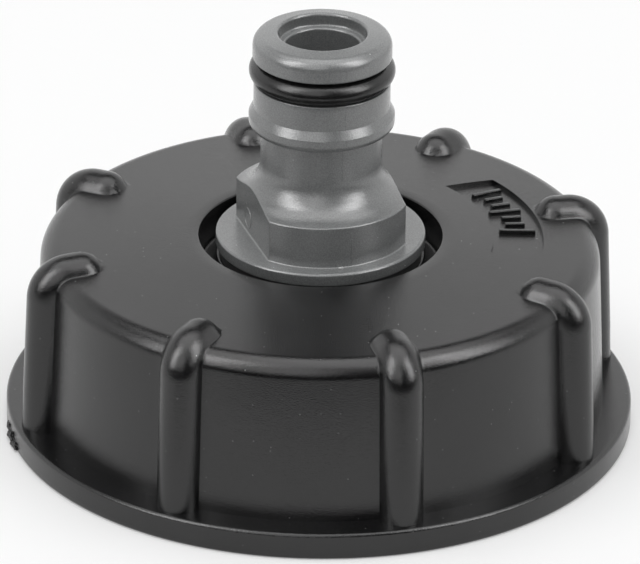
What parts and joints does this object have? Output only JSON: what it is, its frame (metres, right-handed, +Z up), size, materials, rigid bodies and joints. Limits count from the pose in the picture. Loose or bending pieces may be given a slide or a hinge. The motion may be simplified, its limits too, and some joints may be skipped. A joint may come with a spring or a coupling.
{
  "type": "tank adapter cap with hose nipple",
  "caption": "Ribbed screw cap for a bulk container's outlet valve, with a push-on hose nipple that screws into a socket in its top.",
  "frame": {"origin": "centre of the cap rim's bottom face, which is also the bottom centre of the whole part", "axes": "+Z up along the common axis of cap and nipple, towards the nipple's nose; +X to the right and +Y away from the viewer in the picture"},
  "size_m": [0.075, 0.075, 0.0504],
  "materials": {
    "cap_plastic": "black moulded plastic, fine grain, satin",
    "nipple_plastic": "mid grey moulded plastic, satin",
    "o_ring_rubber": "black rubber, slightly glossy",
    "gasket_rubber": "black rubber, matt"
  },
  "bodies": {
    "cap": {"cap": "cap_plastic", "cap_gasket": "gasket_rubber"},
    "washer": {"flange_washer": "gasket_rubber"},
    "nipple": {"nipple": "nipple_plastic", "nose_o_ring": "o_ring_rubber"}
  },
  "joints": [
    {"name": "nipple_lift", "type": "slide", "parent": "cap", "child": "washer", "axis": [0, 0, 1], "range_m": [0, 0.0083]},
    {"name": "nipple_turn", "type": "hinge", "parent": "washer", "child": "nipple", "pos_m": [0, 0, 0.023], "axis": [0, 0, 1], "range_deg": [0, 1620]}
  ],
  "couplings": [
    {"joint": "nipple_lift", "follows": "nipple_turn", "m_per_rad": 0.00028875}
  ]
}
